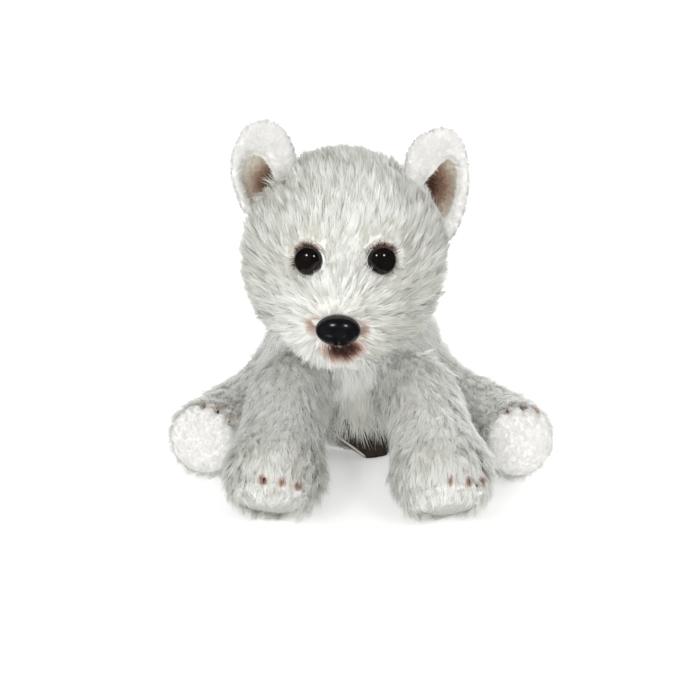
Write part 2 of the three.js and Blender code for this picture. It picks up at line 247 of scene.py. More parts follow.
# ---- materials ----
class Nodes:
    """Builds one Principled material node by node."""

    def __init__(self, name, colour, roughness, **values):
        self.material = bpy.data.materials.new(name)
        self.material.use_nodes = True
        self.tree = self.material.node_tree
        self.shader = self.tree.nodes["Principled BSDF"]
        self.shader.inputs["Base Color"].default_value = (*colour, 1)
        self.shader.inputs["Roughness"].default_value = roughness
        for label, value in values.items():
            self.shader.inputs[label.replace("_", " ")].default_value = value

    def add(self, kind, **values):
        node = self.tree.nodes.new(kind)
        for label, value in values.items():
            if label in node.inputs:
                node.inputs[label].default_value = value
            else:
                setattr(node, label, value)
        return node

    def join(self, out, into):
        self.tree.links.new(out, into)

    def position(self):
        return self.add("ShaderNodeNewGeometry").outputs["Position"]

    def noise(self, scale, detail=3.0):
        node = self.add("ShaderNodeTexNoise", Scale=scale, Detail=detail)
        self.join(self.position(), node.inputs["Vector"])
        return node.outputs["Fac"]

    def ramp(self, factor, stops):
        node = self.add("ShaderNodeValToRGB")
        elements = node.color_ramp.elements
        elements.remove(elements[-1])
        elements[0].position = stops[0][0]
        elements[0].color = (*stops[0][1], 1)
        for place, colour in stops[1:]:
            elements.new(place).color = (*colour, 1)
        self.join(factor, node.inputs["Fac"])
        return node.outputs["Color"]

    def colour(self, out):
        self.join(out, self.shader.inputs["Base Color"])

    def let_light_through(self, colour, share):
        """Thin pale strands pass part of the light that falls on their far side."""
        through = self.add("ShaderNodeBsdfTranslucent")
        self.join(colour, through.inputs["Color"])
        both = self.add("ShaderNodeMixShader")
        both.inputs[0].default_value = share
        self.join(self.shader.outputs[0], both.inputs[1])
        self.join(through.outputs[0], both.inputs[2])
        self.join(both.outputs[0], self.tree.nodes["Material Output"].inputs["Surface"])

    def bump(self, height, strength, distance):
        node = self.add("ShaderNodeBump", Strength=strength, Distance=distance)
        self.join(height, node.inputs["Height"])
        self.join(node.outputs["Normal"], self.shader.inputs["Normal"])


def swatch_material(name, tints, root_painted_shade, roughness, through, **values):
    """Colour from the strand's own swatch: u picks the tint and v runs from root to tip, the root darker as
    painted shade.
    """
    made = Nodes(name, tints[0][1], roughness, **values)
    uv = made.add("ShaderNodeUVMap", uv_map="OFBake")
    split = made.add("ShaderNodeSeparateXYZ")
    made.join(uv.outputs["UV"], split.inputs[0])
    tint = made.ramp(split.outputs["X"], tints)
    shade = made.ramp(split.outputs["Y"], [(0.0, root_painted_shade), (0.55, (1, 1, 1)), (1.0, (1, 1, 1))])
    mix = made.add("ShaderNodeMix", data_type="RGBA", blend_type="MULTIPLY")
    mix.inputs["Factor"].default_value = 1.0
    made.join(tint, mix.inputs["A"])
    made.join(shade, mix.inputs["B"])
    made.colour(mix.outputs["Result"])
    made.let_light_through(mix.outputs["Result"], through)
    return made.material


def fur_material():
    whites = [(0.0, (0.70, 0.70, 0.64)), (0.22, (0.90, 0.905, 0.88)), (0.5, (0.985, 0.985, 0.975))]
    browns = [(0.62, (0.74, 0.62, 0.55)), (0.8, (0.33, 0.17, 0.13)), (1.0, (0.05, 0.018, 0.012))]
    return swatch_material("white_long_pile", whites + browns, (0.92, 0.92, 0.89), 0.30, 0.42,
                           Specular_IOR_Level=0.9)


def velour_material():
    whites = [(0.0, (0.58, 0.575, 0.55)), (0.5, (0.84, 0.835, 0.82))]
    browns = [(0.62, (0.60, 0.55, 0.46)), (0.8, (0.27, 0.17, 0.12)), (1.0, (0.05, 0.022, 0.015))]
    return swatch_material("white_velour", whites + browns, (0.96, 0.96, 0.95), 0.75, 0.2,
                           Specular_IOR_Level=0.2)


def cloth_material(name, colour, darker, scale, roughness=0.9):
    made = Nodes(name, colour, roughness, Specular_IOR_Level=0.15)
    grain = made.noise(scale)
    made.colour(made.ramp(grain, [(0.3, darker), (0.7, colour)]))
    made.bump(grain, 0.5, 0.0004)
    return made.material


def face_material():
    """The head's fabric, airbrushed dark under the nose, and dark round the eyes partly as airbrush and
    partly as painted shadow of their sockets.
    """
    made = Nodes("fur_backing_face", (0.7, 0.69, 0.66), 0.9, Specular_IOR_Level=0.15)
    here = made.add("ShaderNodeTexCoord").outputs["Object"]
    colour = made.ramp(made.noise(900.0), [(0.3, (0.62, 0.61, 0.57)), (0.7, (0.72, 0.71, 0.68))])
    for place, core, edge in FACE_SPOTS:
        apart = made.add("ShaderNodeVectorMath", operation="DISTANCE")
        made.join(here, apart.inputs[0])
        apart.inputs[1].default_value = place
        inside = made.add("ShaderNodeMapRange")
        made.join(apart.outputs["Value"], inside.inputs["Value"])
        for label, value in (("From Min", core), ("From Max", edge), ("To Min", 1.0), ("To Max", 0.0)):
            inside.inputs[label].default_value = value
        mix = made.add("ShaderNodeMix", data_type="RGBA")
        made.join(inside.outputs["Result"], mix.inputs["Factor"])
        made.join(colour, mix.inputs["A"])
        mix.inputs["B"].default_value = (0.07, 0.04, 0.03, 1)
        colour = mix.outputs["Result"]
    made.colour(colour)
    return made.material


def lining_material():
    made = Nodes("ear_lining_velour", (0.35, 0.2, 0.13), 0.9, Specular_IOR_Level=0.1)
    uv = made.add("ShaderNodeUVMap", uv_map="OFBake")
    split = made.add("ShaderNodeSeparateXYZ")
    made.join(uv.outputs["UV"], split.inputs[0])
    grain = made.noise(1500.0)
    blend = made.add("ShaderNodeMath", operation="MULTIPLY_ADD")
    blend.inputs[1].default_value = 0.12
    made.join(grain, blend.inputs[0])
    made.join(split.outputs["X"], blend.inputs[2])
    # beige at the hollow's lip to near-black in its deep corner: partly brown airbrush, partly painted shade
    # of the recess
    stops = [(0.10, (0.60, 0.58, 0.51)), (0.38, (0.40, 0.36, 0.29)), (0.62, (0.15, 0.085, 0.055)),
             (0.88, (0.04, 0.018, 0.012))]
    made.colour(made.ramp(blend.outputs[0], stops))
    made.bump(grain, 0.6, 0.0003)
    return made.material


def gloss_material(name, colour, tint, roughness):
    made = Nodes(name, colour, roughness, Specular_IOR_Level=0.5)
    made.colour(made.ramp(made.noise(220.0), [(0.35, colour), (0.75, tint)]))
    return made.material


def plastic_material(name, colour, darker, roughness, scale):
    made = Nodes(name, colour, roughness)
    grain = made.noise(scale)
    made.colour(made.ramp(grain, [(0.35, darker), (0.7, colour)]))
    return made.material


def pellet_material():
    made = Nodes("plastic_pellets", (0.8, 0.8, 0.78), 0.4)
    cells = made.add("ShaderNodeTexVoronoi", Scale=420.0)
    made.join(made.position(), cells.inputs["Vector"])
    made.colour(made.ramp(cells.outputs["Distance"], [(0.0, (0.86, 0.86, 0.84)), (0.6, (0.5, 0.5, 0.48))]))
    made.bump(cells.outputs["Distance"], -0.8, 0.001)
    return made.material


def woven_material(name, colour, darker, pitch):
    made = Nodes(name, colour, 0.6, Specular_IOR_Level=0.3)
    checks = made.add("ShaderNodeTexWave", Scale=1.0 / pitch, Distortion=1.0)
    made.join(made.position(), checks.inputs["Vector"])
    made.colour(made.ramp(checks.outputs["Fac"], [(0.3, darker), (0.7, colour)]))
    made.bump(checks.outputs["Fac"], 0.4, 0.0002)
    return made.material


EYE_AT = {side: centre_of(f"eye_{side}") for side in SIDES}
NOSE_AT = centre_of("nose")
MOUTH_AT = centre_of("mouth_stitch")
# the mouth's spot is airbrush; the eyes' spots are partly airbrush, partly painted shadow round the sunk
# eyes
FACE_SPOTS = [(tuple(EYE_AT[side]), 0.0064, 0.0092) for side in SIDES] + [(tuple(MOUTH_AT), 0.003, 0.009)]
LOOKS = {
    "fur": fur_material(),
    "face": face_material(),
    "velour": velour_material(),
    "backing": cloth_material("fur_backing", (0.72, 0.71, 0.68), (0.62, 0.61, 0.57), 900.0),
    "sole": cloth_material("sole_backing", (0.76, 0.755, 0.735), (0.71, 0.705, 0.69), 1200.0),
    # near-black: painted shadow under the chest on the gusset
    "belly": cloth_material("belly_plush", (0.045, 0.034, 0.024), (0.018, 0.013, 0.009), 700.0),
    "seam": cloth_material("seam_edge", (0.66, 0.64, 0.56), (0.42, 0.40, 0.33), 1400.0),
    "lining": lining_material(),
    "eye": gloss_material("eye_gloss", (0.004, 0.0035, 0.0035), (0.010, 0.007, 0.006), 0.03),
    "nose": gloss_material("nose_gloss", (0.004, 0.004, 0.005), (0.008, 0.008, 0.010), 0.20),
    "thread": cloth_material("brown_thread", (0.10, 0.035, 0.025), (0.035, 0.012, 0.010), 2500.0, 0.6),
    "filling": cloth_material("fibrefill", (0.9, 0.9, 0.9), (0.78, 0.78, 0.78), 300.0),
    "washer": plastic_material("lock_washer", (0.8, 0.8, 0.78), (0.7, 0.7, 0.68), 0.4, 300.0),
    "pellets": pellet_material(),
    "pouch": woven_material("pouch_cloth", (0.78, 0.77, 0.72), (0.6, 0.59, 0.55), 0.0008),
    "label": woven_material("label_satin", (0.9, 0.9, 0.88), (0.8, 0.8, 0.78), 0.0006),
}


# ---- skins: the fabric under the pile ----
def joined_copy(name, nodes):
    shape = bmesh.new()
    for node in nodes:
        shape.from_mesh(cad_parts[node].data)
    mesh = bpy.data.meshes.new(name)
    shape.to_mesh(mesh)
    shape.free()
    return link(name, mesh)


def keep_largest_island(obj):
    shape = bmesh.new()
    shape.from_mesh(obj.data)
    unseen = set(shape.verts)
    largest = set()
    while unseen:
        island = set()
        stack = [unseen.pop()]
        while stack:
            vertex = stack.pop()
            island.add(vertex)
            for edge in vertex.link_edges:
                other = edge.other_vert(vertex)
                if other in unseen:
                    unseen.discard(other)
                    stack.append(other)
        if len(island) > len(largest):
            largest = island
    bmesh.ops.delete(shape, geom=[v for v in shape.verts if v not in largest], context="VERTS")
    shape.to_mesh(obj.data)
    shape.free()


def remeshed(obj, voxel):
    modifier = obj.modifiers.new("voxels", "REMESH")
    modifier.mode = "VOXEL"
    modifier.voxel_size = voxel
    bake_modifiers(obj)
    keep_largest_island(obj)
    return obj


def smoothed(obj, rounds, factor=0.5):
    modifier = obj.modifiers.new("relax", "SMOOTH")
    modifier.iterations = rounds
    modifier.factor = factor
    return bake_modifiers(obj)


def subdivided(obj):
    modifier = obj.modifiers.new("finer", "SUBSURF")
    modifier.levels = 1
    modifier.render_levels = 1
    return bake_modifiers(obj)


def puffed(obj, pressure=4.0, cap=CLOTH_CAP):
    """Lets the fabric swell and wrinkle for a moment under its filling, then keeps that shape."""
    before = points_of(obj)
    modifier = obj.modifiers.new("cloth", "CLOTH")
    settings = modifier.settings
    settings.use_pressure = True
    settings.uniform_pressure_force = pressure
    settings.effector_weights.gravity = 0.0
    for moment in range(1, CLOTH_FRAMES + 1):
        bpy.context.scene.frame_set(moment)
    bake_modifiers(obj)
    moved = points_of(obj) - before
    reach = np.linalg.norm(moved, axis=1, keepdims=True)
    set_points(obj, before + moved * np.minimum(1.0, cap / np.maximum(reach, 1e-9)))
    bpy.context.scene.frame_set(1)
    return obj


def distance_to(points, trees):
    """How far each point is from the nearest of the trees; negative inside one."""
    best = np.full(len(points), 1.0)
    for tree in trees:
        for i, point in enumerate(points):
            near, normal, _, reach = tree.find_nearest(point, 0.02)
            if near is None:
                continue
            inside = (Vector(point) - near).dot(normal) < 0
            best[i] = min(best[i], -reach if inside else reach)
    return best


def kept_outside(obj, nodes, gap):
    """Pushes the fabric out wherever it would bare what it covers."""
    points = points_of(obj)
    apart = distance_to(points, [tree_of(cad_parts[node]) for node in nodes])
    set_points(obj, points + normals_of(obj) * np.clip(gap - apart, 0.0, MOST_PUSH)[:, None])


def off_the_floor(obj, gap=0.0003):
    points = points_of(obj)
    points[:, 2] = np.maximum(points[:, 2], gap)
    set_points(obj, points)


def drawn_in(obj, depth):
    points = points_of(obj)
    set_points(obj, points - normals_of(obj) * depth[:, None])
    return obj


def face_relief(points):
    """How much the face swells over the muzzle and sinks around the eyes."""
    muzzle = np.array(NOSE_AT) + np.array([0.0, 0.014, -0.001])
    reach = np.linalg.norm((points - muzzle) / np.array([1.25, 1.0, 1.0]), axis=1)
    relief = 0.0040 * np.exp(-(reach / 0.018) ** 2)
    between = (np.array(EYE_AT["right"]) + np.array(EYE_AT["left"])) / 2
    for place, sunk in ((EYE_AT["right"], 0.0004), (EYE_AT["left"], 0.0004), (between, 0.0018)):
        reach = np.linalg.norm(points - np.array(place), axis=1)
        relief -= sunk * np.exp(-(reach / 0.010) ** 2)
    return relief


WASHERS = ("eye_right_washer", "eye_left_washer", "nose_washer")
SKINS = {
    "torso": {"nodes": ("torso_cover", "torso_stuffing"), "inner": ("torso_stuffing",), "body": "torso"},
    "head": {"nodes": ("head_cover", "head_stuffing", *WASHERS), "inner": ("head_stuffing", *WASHERS),
             "body": "head"},
    "tail": {"nodes": ("tail_cover", "tail_stuffing"), "inner": ("tail_stuffing",), "body": "tail"},
}
for leg in LEGS:
    nodes = (f"{leg}_leg_cover", f"{leg}_leg_stuffing", f"{leg}_paw_pad")
    SKINS[leg] = {"nodes": nodes, "inner": nodes[1:2], "body": f"{leg}_leg"}


def build_skins():
    shells = {}
    for name, skin in SKINS.items():
        shells[name] = remeshed(joined_copy(f"{name}_skin", skin["nodes"]), VOXEL)
    trees = {name: tree_of(obj) for name, obj in shells.items()}
    for name, obj in shells.items():
        smoothed(obj, 3)
        points = points_of(obj)
        others = [tree for other, tree in trees.items() if other != name]
        apart = distance_to(points, others)
        depth = PILE_DEPTH["leg" if name in LEGS else name] * ramp(0.001, 0.012, apart)
        if name in LEGS:
            pad = centre_of(f"{name}_paw_pad")
            reach = np.linalg.norm(points - np.array(pad), axis=1)
            depth *= ramp(0.012, 0.022, reach)
        depth *= ramp(0.0, 0.006, points[:, 2])
        drawn_in(obj, depth - face_relief(points) if name == "head" else depth)
        smoothed(obj, 3)
        puffed(obj, cap=FACE_CAP if name == "head" else CLOTH_CAP)
        kept_outside(obj, SKINS[name]["inner"], 0.0006)
        smoothed(obj, 1)
        subdivided(obj)
        off_the_floor(obj)
        obj.data.materials.append(LOOKS["face" if name == "head" else "backing"])
    return shells


# ---- pile: fur and velour strands ----
def strand_object(name, left, right, tip, tint, levels, shading, material):
    """One mesh of tapering ribbons. left and right are (strands, levels, 3); tip is (strands, 3)."""
    count, steps, _ = left.shape
    per = 2 * steps + 1
    points = np.empty((count, per, 3), np.float32)
    points[:, 0:2 * steps:2] = left
    points[:, 1:2 * steps:2] = right
    points[:, -1] = tip
    corners = []
    for step in range(steps - 1):
        a = 2 * step
        corners += [a, a + 1, a + 3, a + 2]
    corners += [per - 3, per - 2, per - 1]
    corners = np.array(corners)
    starts = np.array([4 * step for step in range(steps)])
    loops = len(corners)
    mesh = bpy.data.meshes.new(name)
    mesh.vertices.add(count * per)
    mesh.vertices.foreach_set("co", points.ravel())
    mesh.loops.add(count * loops)
    indices = np.arange(count)[:, None] * per + corners
    mesh.loops.foreach_set("vertex_index", indices.ravel().astype(np.int32))
    mesh.polygons.add(count * steps)
    begins = np.arange(count)[:, None] * loops + starts
    mesh.polygons.foreach_set("loop_start", begins.ravel().astype(np.int32))
    mesh.update(calc_edges=True)
    mesh.shade_smooth()
    soft = mesh.attributes.new("custom_normal", "FLOAT_VECTOR", "POINT")
    soft.data.foreach_set("vector", np.repeat(shading, per, 0).astype(np.float32).ravel())
    v_of = np.append(np.repeat(levels[:-1], 2), levels[-1])[corners]
    side_of = np.append(np.tile([-1.0, 1.0], steps), 0.0)[corners] * SWATCH_HALF
    level_of = np.append(np.repeat(np.arange(steps), 2), steps)[corners]
    uv = np.empty((count, loops, 2), np.float32)
    uv[:, :, 0] = np.clip(tint, SWATCH_EDGE, 1 - SWATCH_EDGE)[:, level_of] + side_of
    uv[:, :, 1] = v_of * 0.98 + 0.01
    layer = mesh.uv_layers.new(name="OFBake")
    layer.data.foreach_set("uv", uv.ravel())
    return link(name, mesh, material)


def scattered(obj, per_area, rng):
    """Random points on obj's surface with their smooth normals."""
    obj.data.calc_loop_triangles()
    count = len(obj.data.loop_triangles)
    index = np.empty(count * 3, np.int32)
    obj.data.loop_triangles.foreach_get("vertices", index)
    index = index.reshape(-1, 3)
    points = points_of(obj)
    normals = normals_of(obj)
    corner = points[index]
    area = np.linalg.norm(np.cross(corner[:, 1] - corner[:, 0], corner[:, 2] - corner[:, 0]), axis=1) / 2
    total = int(area.sum() * per_area)
    chosen = rng.choice(count, total, p=area / area.sum())
    share = rng.random((total, 2))
    folded = share.sum(1) > 1
    share[folded] = 1 - share[folded]
    weight = np.stack([1 - share.sum(1), share[:, 0], share[:, 1]], 1)[:, :, None]
    return (corner[chosen] * weight).sum(1), unit((normals[index[chosen]] * weight).sum(1))


def grow(roots, normals, style, rng):
    """Strand centrelines, ribbon sides and tints for locks of pile rooted at the given places."""
    locks = len(roots)
    strands = style["strands"]
    flow = style["flow"](roots, normals)
    flow = unit(flow - normals * dot(flow, normals)[:, None])
    across = np.cross(normals, flow)
    swing = rng.normal(0, style["swing"], locks)[:, None]
    flow = flow * np.cos(swing) + across * np.sin(swing)
    across = np.cross(normals, flow)
    lift = np.clip(style["lift"](roots, normals) + rng.normal(0, 0.12, locks), 0.05, 1.5)
    length = style["length"](roots, normals) * np.clip(rng.normal(1, 0.14, locks), 0.6, 1.35)
    # every lock's strands start in a small disc and gather towards its middle
    spot = np.sqrt(rng.random((locks, strands))) * style["spread"]
    turn = rng.random((locks, strands)) * 2 * math.pi
    offset = across[:, None] * (spot * np.cos(turn))[..., None]
    offset = offset + flow[:, None] * (spot * np.sin(turn))[..., None]
    start_angle = lift + style["spring"]
    end_angle = lift - BEND
    out0 = flow * np.cos(start_angle)[:, None] + normals * np.sin(start_angle)[:, None]
    out1 = flow * np.cos(end_angle)[:, None] + normals * np.sin(end_angle)[:, None]
    out1 = unit(out1 + DOWN * style["droop"])
    wander = rng.normal(0, style["wander"], (locks, strands, 3))
    d0 = unit(out0[:, None] + wander * 0.5)
    d1 = unit(out1[:, None] + wander)
    own = length[:, None] * rng.uniform(0.72, 1.08, (locks, strands))
    levels = np.array(style["levels"])
    t = levels[None, None, :, None]
    pull = style["gather"] * t ** 1.4
    line = roots[:, None, None] + offset[:, :, None] * (1 - pull)
    line = line + own[:, :, None, None] * (d0[:, :, None] * t + (d1 - d0)[:, :, None] * t * t / 2)
    line = line.reshape(locks * strands, len(levels), 3)
    line[:, :, 2] = np.maximum(line[:, :, 2], 0.0004)
    tangent = unit(d0[:, :, None] + (d1 - d0)[:, :, None] * t).reshape(line.shape)
    roll = rng.normal(0, style["roll"], (locks, strands)).reshape(-1, 1)
    normal = np.repeat(normals, strands, 0)
    sideways = unit(np.cross(tangent[:, 0], normal))
    reference = unit(normal * np.cos(roll) + sideways * np.sin(roll))
    side = unit(np.cross(tangent, reference[:, None]))
    tint = np.repeat(style["tint"](roots, normals, rng), strands) + rng.normal(0, 0.045, locks * strands)
    tint = np.clip(tint, 0, 0.5)[:, None]
    brown = style["brown"](line.reshape(-1, 3)).reshape(line.shape[:2])
    uneven = rng.normal(0, 0.07, len(line))[:, None]
    tint = np.where(brown > 0.03, 0.5 + 0.5 * np.clip(brown + uneven, 0, 1), tint)
    # strands shade partly like the fabric they grow on, so that pile seen end-on isn't dark
    face = unit(np.cross(side[:, 1], tangent[:, 1]))
    shading = unit(normal * SOFT_SHADING + face * (1 - SOFT_SHADING))
    return {"line": line, "side": side, "tint": tint, "levels": levels, "shading": shading}


def strand_pieces(name, grown, style, keep, regions, material):
    """Turns centrelines into ribbons, one object for each region."""
    profile = np.array(style["profile"])
    half = style["width"] / 2 * profile[None, :, None]
    line, side = grown["line"], grown["side"]
    left = line[:, :-1] - side[:, :-1] * half
    right = line[:, :-1] + side[:, :-1] * half
    made = []
    for region, inside in regions(line[:, 0]).items():
        chosen = np.flatnonzero(inside & keep)
        if len(chosen) == 0:
            continue
        label = f"{name}_{region}" if region else name
        made.append(strand_object(
            label, left[chosen], right[chosen], line[chosen, -1], grown["tint"][chosen], grown["levels"],
            grown["shading"][chosen], material,
        ))
    return made


def one_region(points):
    return {"": np.ones(len(points), bool)}


# ---- airbrushed marks ----
def axis_parts(points, centre, facing):
    """Distance along an axis from centre, and the sideways and upward offsets from it."""
    along = np.array(facing)
    across = unit(np.cross(along, UP))
    upward = np.cross(across, along)
    offset = points - np.array(centre)
    return offset @ along, offset @ across, offset @ upward


def spot(points, centre, radii, strength, core=0.35):
    """A soft airbrushed spot: strength inside its core, fading to nothing at its edge."""
    reach = np.linalg.norm((points - np.array(centre)) / np.array(radii), axis=-1)
    return strength * (1 - ramp(core, 1.0, reach))


def strongest(*layers):
    return np.max(np.stack(layers), axis=0)


def face_brown(points):
    layers = [np.zeros(len(points))]
    for side, sign in (("right", -1), ("left", 1)):
        x, y, z = EYE_AT[side]
        above = (x + sign * 0.001, y - 0.004, z + 0.0030)
        corner = (x - sign * 0.005, y - 0.004, z - 0.0035)
        layers.append(spot(points, above, (0.0074, 0.009, 0.0056), 0.60, 0.62))
        layers.append(spot(points, corner, (0.0032, 0.008, 0.0032), 0.22, 0.3))
    x, y, z = NOSE_AT
    layers.append(spot(points, (x - 0.0095, y, z + 0.001), (0.0065, 0.012, 0.0070), 0.34, 0.1))
    layers.append(spot(points, (x + 0.0090, y, z - 0.001), (0.0062, 0.012, 0.0075), 0.42, 0.1))
    layers.append(spot(points, (x + 0.0010, y, z - 0.0110), (0.0150, 0.018, 0.0085), 0.42, 0.2))
    layers.append(spot(points, (x + 0.0020, y, z - 0.0098), (0.0110, 0.018, 0.0064), 0.98, 0.35))
    return strongest(*layers)


def toe_brown(leg):
    marks = [centre_of(f"{leg}_toe_stitch_{toe}") for toe in ("inner", "middle", "outer")]
    strength = 0.75 if leg.startswith("front") else 0.42

    def brown(points):
        ragged = points + 0.0009 * tousle(points, 0.0011, 43)
        return strongest(*[spot(ragged, mark, (0.0026, 0.0060, 0.0034), strength, 0.0) for mark in marks])
    return brown


# ---- flows ----
def head_flow(points, normals):
    away = unit(points - (np.array(NOSE_AT) + np.array([0, 0.006, 0])))
    back = ramp(-0.03, 0.01, points[:, 1])[:, None]
    flow = away * (1 - back) + (DOWN + away * 0.4) * back + 0.30 * tousle(points, 0.010, 3)
    for side in SIDES:
        from_eye = points - np.array(EYE_AT[side])
        inward = unit(np.array([1.0 if side == "right" else -1.0, 0.0, -1.0]))
        near = 1 - ramp(EYE_RADIUS * 1.05, EYE_RADIUS * 1.9, np.linalg.norm(from_eye, axis=1))
        near *= 1 - 0.85 * ramp(0.2, 0.7, unit(from_eye) @ inward)
        flow = flow * (1 - near)[:, None] + unit(from_eye) * (near * 1.2)[:, None]
    return flow


def head_lift(points, normals):
    reach = np.linalg.norm(points - np.array(NOSE_AT), axis=1)
    crown = ramp(0.135, 0.150, points[:, 2])
    muzzle = 1 - ramp(0.016, 0.024, reach)
    return 0.34 + 0.35 * crown + 0.22 * muzzle


def head_length(points, normals):
    reach = np.linalg.norm(points - np.array(NOSE_AT), axis=1)
    x, y, z = NOSE_AT
    cheek = ramp(0.024, 0.036, np.abs(points[:, 0] - x)) * ramp(0.135, 0.115, points[:, 2])
    length = 0.0050 + 0.0055 * ramp(0.007, 0.013, reach) - 0.0045 * ramp(0.017, 0.024, reach)
    length += 0.0035 * ramp(0.028, 0.038, reach) + 0.0020 * cheek
    below = ramp(z - 0.004, z - 0.014, points[:, 2])
    low_cheek = ramp(z + 0.010, z - 0.008, points[:, 2]) * ramp(0.012, 0.024, np.abs(points[:, 0] - x))
    length = np.maximum(length, 0.0095 * below) + 0.0035 * low_cheek
    for side in SIDES:
        from_eye = np.linalg.norm(points - np.array(EYE_AT[side]), axis=1)
        length *= 0.36 + 0.64 * ramp(0.007, 0.013, from_eye)
    return length


def chest_share(points):
    """1 on the tuft that hangs between the forelegs, 0 elsewhere."""
    between = ramp(0.028, 0.018, np.abs(points[:, 0]))
    return between * ramp(-0.002, -0.008, points[:, 1]) * ramp(0.078, 0.062, points[:, 2])


def torso_flow(points, normals):
    middle = np.array(centre_of("torso_cover"))
    out = (points - middle) * np.array([1, 1, 0])
    chest = chest_share(points)[:, None]
    ragged = tousle(points, 0.003, 6) * 0.55 * chest
    return DOWN + (0.35 - 0.2 * chest) * unit(out) + 0.4 * tousle(points, 0.009, 5) + ragged


def torso_length(points, normals):
    return 0.0105 + 0.0055 * chest_share(points)


def torso_lift(points, normals):
    return 0.35 + 0.45 * chest_share(points)


def leg_flow(leg):
    paw = np.array(centre_of(f"{leg}_paw_pad"))
    low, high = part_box(f"{leg}_leg_cover")
    hip = np.array([(low.x + high.x) / 2, high.y - 0.015, high.z - 0.015])

    def flow(points, normals):
        inward = np.array([-np.sign(paw[0]), -0.6, -0.4])
        high_up = ramp(0.045, 0.065, points[:, 2])[:, None] * (1.0 if leg.startswith("front") else 0.0)
        plain = unit(paw - hip) + 0.25 * DOWN + 0.4 * tousle(points, 0.010, 7 + LEGS.index(leg))
        return plain + 0.6 * inward * high_up
    return flow


def white_tint(points, normals, rng):
    broad = tousle(points, 0.012, 11)[:, 0]
    return np.clip(0.27 + 0.10 * broad + rng.normal(0, 0.13, len(points)), 0, 0.5)


def torso_tint(points, normals, rng):
    # painted shade: the chest tuft darker low down, towards the floor
    under = chest_share(points) * ramp(0.058, 0.030, points[:, 2])
    return np.clip(painted_light_tint(points, normals, rng) - 0.30 * under, 0, 0.5)


# The white tint raised by 0.13: painted light on the body, legs and tail, which the lamps light less than
# the head.
def painted_light_tint(points, normals, rng):
    return np.clip(white_tint(points, normals, rng) + 0.13, 0, 0.5)


def head_tint_and_painted_light(points, normals, rng):
    x, y, z = NOSE_AT
    bridge = ramp(0.011, 0.004, np.abs(points[:, 0] - x)) * ramp(z + 0.006, z + 0.012, points[:, 2])
    bridge *= ramp(EYE_AT["left"].z + 0.012, EYE_AT["left"].z + 0.004, points[:, 2])
    crown = ramp(0.125, 0.145, points[:, 2])
    back = ramp(-0.015, 0.015, points[:, 1])
    # painted light and shade: the head 0.11 below the plain white, as the lamps light it most; the bridge
    # lighter, the crown darker, the back lighter, facing away from the front lamps
    tint = white_tint(points, normals, rng) + 0.03 * bridge - 0.06 * crown - 0.11 + 0.25 * back
    # painted shade in each eye's socket
    for side in SIDES:
        from_eye = np.linalg.norm(points - np.array(EYE_AT[side]), axis=1)
        tint -= 0.14 * ramp(0.014, 0.007, from_eye)
    return np.clip(tint, 0, 0.5)


def no_brown(points):
    return np.zeros(len(points))


def constant(value):
    return lambda points, normals: np.full(len(points), value)


# ---- growing the coat ----
LOCK = {
    "strands": 16, "spread": 0.0013, "width": 0.00021, "levels": (0.0, 0.4, 0.76, 1.0),
    "profile": (0.9, 1.0, 0.75), "gather": 0.4, "roll": 0.7, "swing": 0.22, "wander": 0.12,
    "spring": 0.35, "droop": 0.0, "tint": white_tint, "brown": no_brown,
}


def all_of(line):
    return np.ones(len(line), bool)


def fur_on(name, skin, body, style, per_area, trees, seed, regions=one_region, cull=all_of):
    """Long pile on a skin, kept off its neighbours and off what rests on the floor."""
    rng = np.random.default_rng(seed)
    roots, normals = scattered(skin, per_area, rng)
    underneath = (roots[:, 2] < RESTS_BELOW) & (normals[:, 2] < -0.3)
    ok = (distance_to(roots, trees) > ROOT_GAP) & ~underneath
    grown = grow(roots[ok], normals[ok], style, rng)
    for piece in strand_pieces(name, grown, style, cull(grown["line"]), regions, LOOKS["fur"]):
        part_of(piece, body)


def short_pile(name, surface, body, style, per_area, chosen, rng):
    """Velour pile on the chosen part of a surface."""
    roots, normals = scattered(surface, per_area, rng)
    wanted = chosen(roots, normals)
    grown = grow(roots[wanted], normals[wanted], style, rng)
    for piece in strand_pieces(name, grown, style, all_of(grown["line"]), one_region, LOOKS["velour"]):
        part_of(piece, body)


def rear_only(line):
    """The gusset is furred only where it comes up behind."""
    return line[:, 0, 1] > BELLY_FUR_FROM


def head_cull(line):
    """Keeps the eyes and the nose clear of fur."""
    keep = np.ones(len(line), bool)
    for side in SIDES:
        along, across, upward = axis_parts(line, EYE_AT[side], EYE_FACING[side])
        reach = np.hypot(across, upward)
        covers = ((reach < EYE_RADIUS * 0.84) & (along > -0.006)).any(1)
        keep &= ~covers
    along, across, upward = axis_parts(line, NOSE_AT, NOSE_FACING)
    reach = np.hypot(across / NOSE_RADIUS, upward / (NOSE_RADIUS * NOSE_SQUASH))
    keep &= ~((reach < 0.93) & (along > -0.006)).any(1)
    return keep


def head_regions(points):
    middle = np.array(centre_of("head_cover"))
    front = points[:, 1] < middle[1] - 0.004
    right = points[:, 0] < middle[0]
    high = points[:, 2] > middle[2]
    return {
        "face_upper_right": front & right & high,
        "face_upper_left": front & ~right & high,
        "face_lower_right": front & right & ~high,
        "face_lower_left": front & ~right & ~high,
        "back_right": ~front & right,
        "back_left": ~front & ~right,
    }


def torso_regions(points):
    middle = np.array(centre_of("torso_cover"))
    front = points[:, 1] < middle[1]
    right = points[:, 0] < middle[0]
    return {"chest_right": front & right, "chest_left": front & ~right,
            "back_right": ~front & right, "back_left": ~front & ~right}


